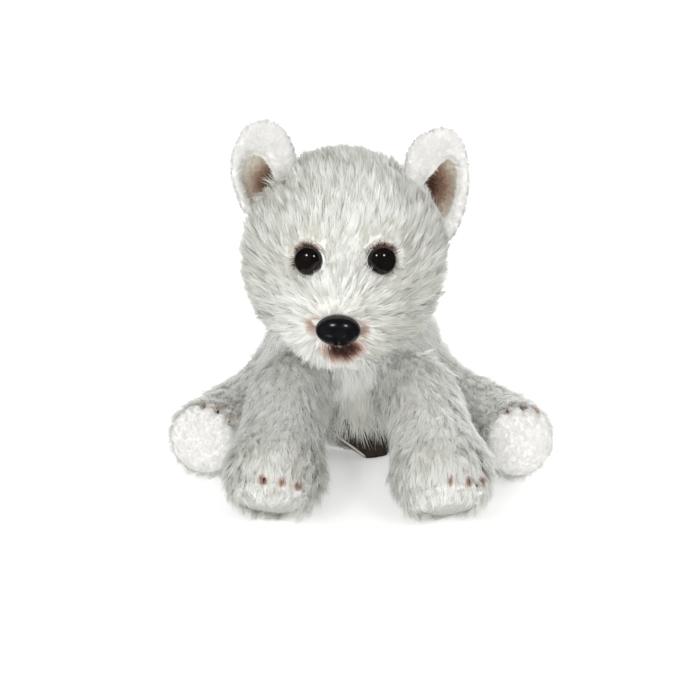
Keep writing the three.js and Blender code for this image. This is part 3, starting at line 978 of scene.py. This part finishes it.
def leg_style(leg):
    """A leg's pile: shorter and more upright near the sole, and greyer there as painted shade."""
    pad = np.array(centre_of(f"{leg}_paw_pad"))
    paw = PAW[leg.split("_")[0]]

    def from_pad(points):
        return np.linalg.norm(points - pad, axis=1)

    def length(points, normals):
        return paw["pile"] + (LEG_PILE - paw["pile"]) * ramp(0.018, 0.03, from_pad(points))

    def lift(points, normals):
        return 0.22 + 0.30 * (1 - ramp(0.02, 0.035, from_pad(points)))

    def tint(points, normals, rng):
        greyer = paw["greyer"] * ramp(0.034, 0.020, from_pad(points))
        return np.clip(painted_light_tint(points, normals, rng) - greyer, 0, 0.5)

    def off_sole(line):
        facing = SOLE_FACING[leg]
        offset = line[:, 0] - pad
        along = offset @ facing
        reach = np.linalg.norm(offset - along[:, None] * facing, axis=1)
        return ~((reach < paw["bare"]) & (np.abs(along) < PAD_REACH))

    style = {**LOCK, "flow": leg_flow(leg), "lift": lift, "length": length, "droop": 0.1,
             "brown": toe_brown(leg), "tint": tint}
    return style, off_sole


def add_coat(skins):
    trees = {name: tree_of(obj) for name, obj in skins.items()}

    def others(name):
        return [tree for other, tree in trees.items() if other != name]

    head = {**LOCK, "flow": head_flow, "lift": head_lift, "length": head_length, "brown": face_brown,
            "droop": 0.12, "tint": head_tint_and_painted_light}
    fur_on("head_fur", skins["head"], "head", head, LOCKS["head"], others("head"), 21, head_regions,
           cull=head_cull)
    torso = {**LOCK, "flow": torso_flow, "lift": torso_lift, "length": torso_length, "droop": 0.25,
             "tint": torso_tint, "gather": 0.55, "wander": 0.18}
    fur_on("torso_fur", skins["torso"], "torso", torso, LOCKS["torso"], others("torso"), 22, torso_regions)
    for number, leg in enumerate(LEGS):
        style, off_sole = leg_style(leg)
        fur_on(f"{leg}_leg_fur", skins[leg], f"{leg}_leg", style, LOCKS["leg"], others(leg), 30 + number,
               cull=off_sole)
    rear = {**torso, "length": constant(0.0095)}
    fur_on("belly_rear_fur", skins["belly"], "torso", rear, LOCKS["torso"], others("belly"), 23,
           cull=rear_only)
    tail = {**LOCK, "flow": lambda p, n: np.tile([0, 0.6, 0.8], (len(p), 1)), "lift": constant(0.5),
            "length": constant(0.0075), "tint": painted_light_tint}
    fur_on("tail_fur", skins["tail"], "tail", tail, LOCKS["tail"], others("tail"), 40)


# ---- soles ----
def plane_of(node):
    """Centre, outward normal and radius of a flat round CAD pad."""
    points = points_of(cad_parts[node])
    middle, rows = svd_axes(points)
    facing = rows[2] if rows[2][1] < 0 else -rows[2]
    along = (points - middle) @ facing
    face = middle + facing * along.max()
    radius = np.linalg.norm((points - middle) - along[:, None] * facing, axis=1).max()
    return face, facing, radius


SOLES = {leg: plane_of(f"{leg}_paw_pad") for leg in LEGS}
SOLE_FACING = {leg: SOLES[leg][1] for leg in LEGS}


def basis_for(facing):
    across = unit(np.cross(facing, UP))
    return across, np.cross(across, facing)


def toe_gaps(leg):
    """Unit directions across the sole, from its middle to each toe stitch."""
    marks = [centre_of(f"{leg}_toe_stitch_{toe}") for toe in ("inner", "middle", "outer")]
    return [toe_outward(leg, np.array(mark)) for mark in marks]


def paw_rims(leg, radius, spokes):
    """The sole's edge all round, swelling into a toe on each side of every toe stitch."""
    face, facing, _ = SOLES[leg]
    across, upward = basis_for(facing)
    rims = []
    for k in range(spokes):
        angle = 2 * math.pi * k / spokes
        rim = across * math.cos(angle) + upward * math.sin(angle)
        off = [math.acos(max(-1.0, min(1.0, float(rim @ gap)))) for gap in toe_gaps(leg)]
        swell = math.exp(-(min(off) / TOE_SPREAD) ** 2) * TOE_SWELL
        groove = 1.6 * math.exp(-(min(off) / TOE_GROOVE) ** 2)
        rims.append(rim * (radius + swell * (1 - groove)))
    return rims


def disc_cushion(name, face, facing, rims, crown, look, rings=14):
    """A crowned cushion with a soft edge, closed behind."""
    points = [face + facing * crown]
    for ring in range(1, rings + 1):
        angle = ring / rings * math.pi / 2
        high = crown * math.cos(angle) ** 0.8
        points += [face + rim * math.sin(angle) + facing * high for rim in rims]
    for out in (0.97, 0.6):
        points += [face + rim * out - facing * SOLE_THICK for rim in rims]
    points.append(face - facing * SOLE_THICK)
    return solid_mesh(name, points, closed_rings(rings + 2, len(rims)), look)


def sole_flow(points, normals):
    return DOWN + 0.4 * tousle(points, 0.010, 13)


def velour_tint(tone):
    return lambda points, normals, rng: np.clip(rng.normal(tone, 0.04, len(points)), 0, 0.5)


VELOUR = {
    "strands": 5, "spread": 0.0006, "width": 0.00017, "levels": (0.0, 0.55, 1.0), "profile": (1.0, 0.8),
    "gather": 0.1, "roll": 0.25, "swing": 0.8, "wander": 0.3, "spring": 0.1, "droop": 0.0,
    "tint": velour_tint(0.38), "brown": no_brown,
}


def add_soles():
    for number, leg in enumerate(LEGS):
        face, facing, radius = SOLES[leg]
        paw = PAW[leg.split("_")[0]]
        rims = paw_rims(leg, radius + paw["wider"], SOLE_SPOKES)
        sole = disc_cushion(f"{leg}_sole", face, facing, rims, paw["crown"], LOOKS["sole"])
        off_the_floor(sole)
        part_of(sole, f"{leg}_leg", f"{leg}_paw_pad")
        style = {**VELOUR, "flow": sole_flow, "lift": constant(0.45), "length": constant(0.0015),
                 "tint": velour_tint(paw["tone"]), "brown": toe_brown(leg)}

        def outer(roots, normals, facing=facing):
            return dot(normals, facing) > 0.1

        rng = np.random.default_rng(50 + number)
        short_pile(f"{leg}_sole_pile", sole, f"{leg}_leg", style, SOLE_PILE, outer, rng)


# ---- ears ----
def closed_curve(controls, count):
    """Points on a smooth closed curve through the controls, evenly spread by control."""
    controls = np.array(controls, float)
    made = []
    size = len(controls)
    for k in range(count):
        s = k / count * size
        i = int(s)
        t = s - i
        p0, p1, p2, p3 = (controls[(i + j) % size] for j in (-1, 0, 1, 2))
        made.append(0.5 * (2 * p1 + (p2 - p0) * t + (2 * p0 - 5 * p1 + 4 * p2 - p3) * t ** 2
                           + (3 * p1 - p0 - 3 * p2 + p3) * t ** 3))
    return np.array(made)


# outlines seen from the front, (x, z), both starting at the bottom and going round by the outer side
EARS = {
    "right": {
        "outline": [(-0.0385, 0.1215), (-0.0490, 0.1235), (-0.0528, 0.1330), (-0.0545, 0.1415),
                    (-0.0534, 0.1500), (-0.0495, 0.1582), (-0.0440, 0.1620), (-0.0385, 0.1624),
                    (-0.0330, 0.1594), (-0.0297, 0.1540), (-0.0275, 0.1455), (-0.0262, 0.1330)],
        "opening": [(-0.0440, 0.1245), (-0.0478, 0.1280), (-0.0500, 0.1340), (-0.0511, 0.1400),
                    (-0.0497, 0.1455), (-0.0462, 0.1483), (-0.0425, 0.1475), (-0.0395, 0.1445),
                    (-0.0372, 0.1400), (-0.0358, 0.1340), (-0.0372, 0.1280), (-0.0405, 0.1245)],
        "deep": (-0.0375, 0.1350),
    },
    "left": {
        "outline": [(0.0345, 0.1110), (0.0405, 0.1150), (0.0438, 0.1250), (0.0450, 0.1340), (0.0450, 0.1430),
                    (0.0433, 0.1508), (0.0398, 0.1570), (0.0345, 0.1596), (0.0285, 0.1582), (0.0227, 0.1545),
                    (0.0187, 0.1460), (0.0190, 0.1270)],
        "opening": [(0.0355, 0.1205), (0.0382, 0.1240), (0.0398, 0.1295), (0.0408, 0.1350), (0.0408, 0.1405),
                    (0.0395, 0.1446), (0.0368, 0.1464), (0.0340, 0.1448), (0.0305, 0.1404), (0.0262, 0.1352),
                    (0.0288, 0.1305), (0.0325, 0.1245)],
        "deep": (0.0285, 0.1345),
    },
}
EAR_SPOKES = 96
EAR_FACE_Y = -0.0245
EAR_BACK = 0.0030
EAR_RIM = 0.0032
EAR_RECESS = 0.0040
EAR_LINING = 0.0004
# pairs of how far across the part a ring lies, and how much of its full height or depth it has there
EAR_BACK_PROFILE = ((0.25, 1.0), (0.5, 0.95), (0.75, 0.8), (0.9, 0.55), (1.0, 0.0))
EAR_RIM_PROFILE = ((0.08, 0.55), (0.25, 0.9), (0.5, 1.0), (0.75, 0.95), (0.92, 0.75), (1.0, 0.45))
EAR_HOLLOW_PROFILE = ((0.97, -0.1), (0.94, 0.45), (0.85, 0.8), (0.5, 1.0))
EAR_LINING_PROFILE = ((1.02, 0.0), (0.9, 0.55), (0.75, 0.8), (0.6, 0.9), (0.45, 0.95), (0.3, 1.0),
                      (0.15, 1.0))


def ear_depth(x, z, box_low, box_high):
    """Where the ear's middle surface lies: cupped sideways, with its tip tipping forward."""
    middle = (box_low.x + box_high.x) / 2
    half = (box_high.x - box_low.x) / 2
    up = (z - box_low.z) / (box_high.z - box_low.z)
    return EAR_FACE_Y + 0.002 - 0.0035 * ((x - middle) / half) ** 2 - 0.004 * max(0.0, up - 0.5) ** 2 * 4


def ear_floor(share):
    """How far behind the ear's middle surface its hollow lies, from 0 at its lip to 1 at its deepest."""
    return EAR_RECESS * share * 0.6 - EAR_RIM * 0.2


def ear_shell(side, outline, opening, depth_at):
    """The ear's back, its rounded rim and the hollow that its lining lies in."""
    core = outline.mean(0)
    hollow = opening.mean(0)
    rings = [(core + (outline - core) * share, EAR_BACK * bulge) for share, bulge in EAR_BACK_PROFILE]
    rings += [(outline + (opening - outline) * share, -EAR_RIM * bulge) for share, bulge in EAR_RIM_PROFILE]
    rings += [(hollow + (opening - hollow) * share, ear_floor(sink)) for share, sink in EAR_HOLLOW_PROFILE]
    points = [(core[0], depth_at(*core) + EAR_BACK, core[1])]
    for ring, depth in rings:
        points += [(x, depth_at(x, z) + depth, z) for x, z in ring]
    points.append((hollow[0], depth_at(*hollow) + ear_floor(1.0), hollow[1]))
    shell = solid_mesh(f"ear_{side}_shell", points, closed_rings(len(rings), EAR_SPOKES), LOOKS["sole"])
    return part_of(shell, f"{side}_ear", f"ear_{side}_back")


def ear_inside(side, opening, depth_at, from_deep):
    """The lining in the ear's hollow, darkest in its deep inner corner, partly from airbrush and partly as
    painted shade.
    """
    hollow = opening.mean(0)
    points = []
    for share, sink in EAR_LINING_PROFILE:
        for x, z in hollow + (opening - hollow) * share:
            points.append((x, depth_at(x, z) + ear_floor(sink) - EAR_LINING, z))
    points.append((hollow[0], depth_at(*hollow) + ear_floor(1.0) - EAR_LINING, hollow[1]))
    rings = len(EAR_LINING_PROFILE)
    faces = ring_faces(rings, EAR_SPOKES, 0) + end_fan((rings - 1) * EAR_SPOKES, EAR_SPOKES, len(points) - 1)
    obj = flat_mesh(f"ear_{side}_inside", points, faces, LOOKS["lining"])
    modifier = obj.modifiers.new("thick", "SOLIDIFY")
    modifier.thickness = 0.0003
    modifier.offset = 0
    bake_modifiers(obj)
    layer = obj.data.uv_layers.new(name="OFBake")
    near = 1 - np.minimum(from_deep(points_of(obj)), 1.0)
    deep_x, deep_z = EARS[side]["deep"]
    for loop in obj.data.loops:
        x, _, z = obj.data.vertices[loop.vertex_index].co
        v = 0.5 + (x - deep_x) * 10 + (z - deep_z) * 3
        layer.data[loop.index].uv = (0.02 + 0.96 * near[loop.vertex_index], v)
    return part_of(obj, f"{side}_ear", f"ear_{side}_lining")


def add_ear(side):
    ear = EARS[side]
    low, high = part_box(f"ear_{side}_back")
    outline = closed_curve(ear["outline"], EAR_SPOKES)
    opening = closed_curve(ear["opening"], EAR_SPOKES)
    size = np.linalg.norm(opening - opening.mean(0), axis=1).max() * 1.2

    def depth_at(x, z):
        return ear_depth(x, z, low, high)

    def from_deep(points):
        """Distance from the ear's darkest corner, 1 at about the far side of the opening."""
        return np.hypot(points[:, 0] - ear["deep"][0], (points[:, 2] - ear["deep"][1]) * 0.9) / size

    shell = ear_shell(side, outline, opening, depth_at)
    inside = ear_inside(side, opening, depth_at, from_deep)
    tree = tree_of(inside)

    def off_lining(roots, normals):
        return np.array([tree.find_nearest(root)[3] > 0.0012 for root in roots])

    def facing_out(roots, normals):
        return normals[:, 1] < -0.2

    # airbrush and painted shade: the lining's pile browner towards the deep corner
    def lining_brown_and_shade(points):
        return np.clip(0.04 + 1.05 * (1 - from_deep(points)), 0.05, 1)

    style = {**VELOUR, "flow": lambda p, n: np.tile(UP, (len(p), 1)) + 0.4 * tousle(p, 0.010, 17),
             "lift": lambda p, n: 0.35 + 0.40 * ramp(0.3, -0.3, n[:, 1]),
             "length": lambda p, n: 0.0012 + 0.0012 * ramp(0.5, -0.1, n[:, 1])}
    body = f"{side}_ear"
    rng = np.random.default_rng(60 + SIDES.index(side))
    short_pile(f"ear_{side}_pile", shell, body, style, EAR_PILE, off_lining, rng)
    style = {**style, "brown": lining_brown_and_shade, "lift": constant(0.5), "length": constant(0.0013)}
    short_pile(f"ear_{side}_inside_pile", inside, body, style, LINING_PILE, facing_out,
               rng)


# ---- buttons ----
def dome(name, centre, facing, radius, height, squash, look, rings=20, spokes=64):
    facing = np.array(facing)
    across, upward = basis_for(facing)
    centre = np.array(centre)
    turns = [2 * math.pi * k / spokes for k in range(spokes)]
    rims = [(across * math.cos(turn) + upward * squash * math.sin(turn)) * radius for turn in turns]
    points = [centre + facing * height]
    for ring in range(1, rings + 1):
        angle = ring / rings * math.pi / 2
        points += [centre + facing * height * math.cos(angle) + rim * math.sin(angle) for rim in rims]
    for share in (0.96, 0.5):
        points += [centre - facing * DOME_BACK + rim * share for rim in rims]
    points.append(centre - facing * DOME_BACK)
    return solid_mesh(name, points, closed_rings(rings + 2, spokes), look)


def button_seat(node, facing, dome_height):
    """The point on a button's axis where its dome starts, from the CAD button's foremost vertex."""
    points = points_of(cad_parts[node])
    along = points @ np.array(facing)
    front = points[along.argmax()]
    return front - np.array(facing) * dome_height


def add_buttons():
    for side in SIDES:
        facing = EYE_FACING[side]
        seat = button_seat(f"eye_{side}", facing, EYE_DOME) - np.array(facing) * EYE_SUNK
        eye = dome(f"eye_{side}_dome", seat, facing, EYE_RADIUS, EYE_DOME, 1.0, LOOKS["eye"])
        part_of(eye, "head", f"eye_{side}")
    seat = button_seat("nose", NOSE_FACING, NOSE_DOME)
    nose = dome("nose_dome", seat, NOSE_FACING, NOSE_RADIUS, NOSE_DOME, NOSE_SQUASH, LOOKS["nose"])
    shape_nose(nose, seat)
    part_of(nose, "head", "nose")


def shape_nose(obj, seat):
    """Presses two soft nostrils and a shallow middle line into the nose."""
    points = points_of(obj)
    along, across, upward = axis_parts(points, seat, NOSE_FACING)
    dent = np.zeros(len(points))
    for sign in (-1, 1):
        reach = np.hypot((across - sign * 0.0036) / 0.0018, (upward + 0.0014) / 0.0012)
        dent += 0.0009 * np.exp(-reach ** 2)
    dent += 0.0004 * np.exp(-(across / 0.0008) ** 2) * ramp(0.001, -0.003, upward)
    dent = np.where(along > 0, dent, 0)
    set_points(obj, points - np.outer(dent, np.array(NOSE_FACING)))


# ---- threads and seams ----
def tube(name, route, radius, look, sides=8, twist=0.0):
    route = np.array(route, float)
    tangent = unit(np.gradient(route, axis=0))
    points = []
    reference = UP if abs(tangent[0] @ UP) < 0.9 else np.array([0.0, -1.0, 0.0])
    for k, (point, way) in enumerate(zip(route, tangent)):
        across = unit(np.cross(way, reference))
        upward = np.cross(across, way)
        from_end = min(k, len(route) - 1 - k)
        thin = (0.45, 0.85)[from_end] if from_end < 2 else 1.0
        for s in range(sides):
            angle = 2 * math.pi * s / sides + twist * k
            ridge = 1 + 0.22 * math.cos(2 * angle)
            spoke = across * math.cos(angle) + upward * math.sin(angle)
            points.append(point + spoke * radius * thin * ridge)
    ends = [tuple(range(sides)), tuple(range(len(points) - sides, len(points)))]
    return solid_mesh(name, points, ring_faces(len(route), sides, 0) + ends, look)


def long_axis(node):
    points = points_of(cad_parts[node])
    middle, rows = svd_axes(points)
    along = (points - middle) @ rows[0]
    return middle, rows[0], (along.max() - along.min()) / 2


def toe_outward(leg, point):
    """The way from the middle of a sole out past a toe."""
    face, facing, _ = SOLES[leg]
    offset = point - face
    return unit(offset - (offset @ facing) * facing)


def add_mouth(head):
    """The mouth's thread, half sunk in the face's fabric, along the CAD stitch."""
    points = points_of(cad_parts["mouth_stitch"])
    low, high = points.min(0), points.max(0)
    tree = tree_of(head)
    route = []
    for s in np.linspace(-1, 1, 25):
        x = (low[0] + high[0]) / 2 + s * (high[0] - low[0]) / 2 * 0.8
        z = high[2] - 0.0006 - 0.0014 * s * s
        hit = tree.ray_cast(Vector((x, low[1] - 0.02, z)), Vector((0, 1, 0)))[0]
        route.append((x, hit.y + THREAD_SUNK, z))
    thread = tube("mouth_thread", route, MOUTH_THREAD, LOOKS["thread"], twist=0.7)
    part_of(thread, "head", "mouth_stitch")


def add_threads():
    for leg in LEGS:
        for toe in ("inner", "middle", "outer"):
            node = f"{leg}_toe_stitch_{toe}"
            middle, way, half = long_axis(node)
            middle = middle - toe_outward(leg, middle) * 0.0020 - np.array(SOLE_FACING[leg]) * 0.0008
            route = [middle + way * half * s for s in np.linspace(-0.45, 0.45, 11)]
            thread = tube(f"{node}_thread", route, TOE_THREAD, LOOKS["thread"], twist=0.7)
            part_of(thread, f"{leg}_leg", node)


# ---- what stays as CAD ----
INNER = {"pellet_pouch": "pouch", "pellet_fill": "pellets"}
INNER.update({node: "washer" for node in WASHERS})
INNER.update({f"{part}_stuffing": "filling" for part in ("torso", "head", "tail")})
INNER.update({f"{leg}_leg_stuffing": "filling" for leg in LEGS})


def dress_inner():
    for node, look in INNER.items():
        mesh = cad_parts[node].data
        mesh.materials.clear()
        mesh.materials.append(LOOKS[look])


def add_label():
    low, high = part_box("care_label")
    width, length = high.y - low.y, high.x - low.x
    columns, rows = 12, 18
    points = []
    for top in (1, -1):
        for i in range(rows + 1):
            for j in range(columns + 1):
                u, v = i / rows, j / columns
                curl = 0.0008 * math.sin(u * 2.6) + 0.0002 * math.sin(v * 6)
                z = (low.z + high.z) / 2 + curl + top * LABEL_HALF
                points.append((low.x + u * length, low.y + v * width, z))
    faces = []
    step = columns + 1
    size = (rows + 1) * step
    for layer in (0, size):
        for i in range(rows):
            for j in range(columns):
                a = layer + i * step + j
                quad = (a, a + 1, a + step + 1, a + step)
                faces.append(quad if layer else quad[::-1])
    border = [i * step for i in range(rows + 1)] + [rows * step + j for j in range(1, step)]
    border += [i * step + columns for i in range(rows - 1, -1, -1)] + [j for j in range(columns - 1, 0, -1)]
    for k, a in enumerate(border):
        b = border[(k + 1) % len(border)]
        faces.append((a, b, b + size, a + size))
    label = solid_mesh("care_label_tab", points, faces, LOOKS["label"])
    part_of(label, "torso", "care_label")


def build_belly():
    """The gusset between the forelegs, near-black as painted shadow under the chest, with the pale edge of
    its front seam.
    """
    belly = remeshed(joined_copy("belly_plush", ("belly_panel",)), 0.0014)
    smoothed(belly, 4)
    puffed(belly, 2.0, 0.0006)
    off_the_floor(belly)
    belly.data.materials.append(LOOKS["belly"])
    return part_of(belly, "torso", "belly_panel")


def add_belly_details(belly):
    tree = tree_of(belly)
    route = []
    for x in np.linspace(BELLY_SEAM["from"], BELLY_SEAM["to"], 25):
        height = BELLY_SEAM["height"] + BELLY_SEAM["slope_x"] * x
        start = Vector((x, -0.06, height - 0.06 * BELLY_SEAM["slope_y"]))
        way = Vector((0, 1, BELLY_SEAM["slope_y"])).normalized()
        hit = tree.ray_cast(start + Vector((0, 0, 0.0009)), way)[0]
        if hit is not None:
            route.append(tuple(hit - way * 0.0004))
    if len(route) > 4:
        part_of(tube("belly_seam_edge", route, SEAM_THREAD, LOOKS["seam"]), "torso")


def finish_skins(skins):
    for name, obj in skins.items():
        part_of(obj, SKINS[name]["body"], SKINS[name]["nodes"][0])


# ---- studio ----
def area_light(name, at, size, power):
    data = bpy.data.lights.new(name, "AREA")
    data.energy = power
    data.size = size
    lamp = link(name, data)
    lamp.location = at
    lamp.rotation_euler = (TARGET - Vector(at)).to_track_quat("-Z", "Y").to_euler()
    return lamp


def add_studio():
    world = bpy.data.worlds.new("studio")
    world.use_nodes = True
    sky = world.node_tree.nodes["Background"].inputs
    sky["Color"].default_value = (1, 1, 1, 1)
    sky["Strength"].default_value = SKY
    bpy.context.scene.world = world
    area_light("key", **KEY)
    area_light("fill", **FILL)
    for name, light in (("top", TOP), ("front", FRONT), ("back", BACK)):
        area_light(name, **light).visible_glossy = False
    made = Nodes("floor", (0.93, 0.93, 0.93), 0.9, Specular_IOR_Level=0.1)
    made.shader.inputs["Emission Color"].default_value = (1, 1, 1, 1)
    made.shader.inputs["Emission Strength"].default_value = FLOOR_GLOW
    floor = sweep_floor(made.material)
    # glossy eyes mirror only the two lamps, as under a studio's softboxes
    floor.visible_glossy = False
    world.cycles_visibility.glossy = False
    bpy.context.scene.view_settings.view_transform = "Standard"


def let_light_bounce():
    """White pile is bright because light bounces many times between its strands."""
    cycles = bpy.context.scene.cycles
    cycles.max_bounces = 16
    cycles.diffuse_bounces = 8
    cycles.transmission_bounces = 12


def sweep_floor(material):
    """A round floor that curves up into a low wall all the way round, so that no view meets an edge."""
    spokes = 96
    profile = [(FLOOR_RADIUS, 0.0)]
    for k in range(1, 13):
        angle = k / 12 * math.pi / 2
        profile.append((FLOOR_RADIUS + FLOOR_BEND * math.sin(angle), FLOOR_BEND * (1 - math.cos(angle))))
    turns = [2 * math.pi * k / spokes for k in range(spokes)]
    points = [(0, 0, 0)]
    for radius, height in profile:
        points += [(radius * math.cos(turn), radius * math.sin(turn), height) for turn in turns]
    faces = end_fan(1, spokes, 0) + [face[::-1] for face in ring_faces(len(profile), spokes, 1)]
    return flat_mesh("floor", points, faces, material)


def add_camera():
    data = bpy.data.cameras.new("camera")
    data.lens = LENS
    data.sensor_width = SENSOR
    data.clip_start = 0.01
    camera = link("camera", data)
    forward = Vector((0, math.cos(ELEVATION), -math.sin(ELEVATION)))
    camera.location = TARGET - forward * DISTANCE
    camera.rotation_euler = forward.to_track_quat("-Z", "Y").to_euler()
    bpy.context.scene.camera = camera


add_camera()
add_studio()
let_light_bounce()
skins = build_skins()
belly = build_belly()
add_coat({**skins, "belly": belly})
add_belly_details(belly)
add_soles()
for side in SIDES:
    add_ear(side)
add_buttons()
add_mouth(skins["head"])
add_threads()
dress_inner()
add_label()
finish_skins(skins)
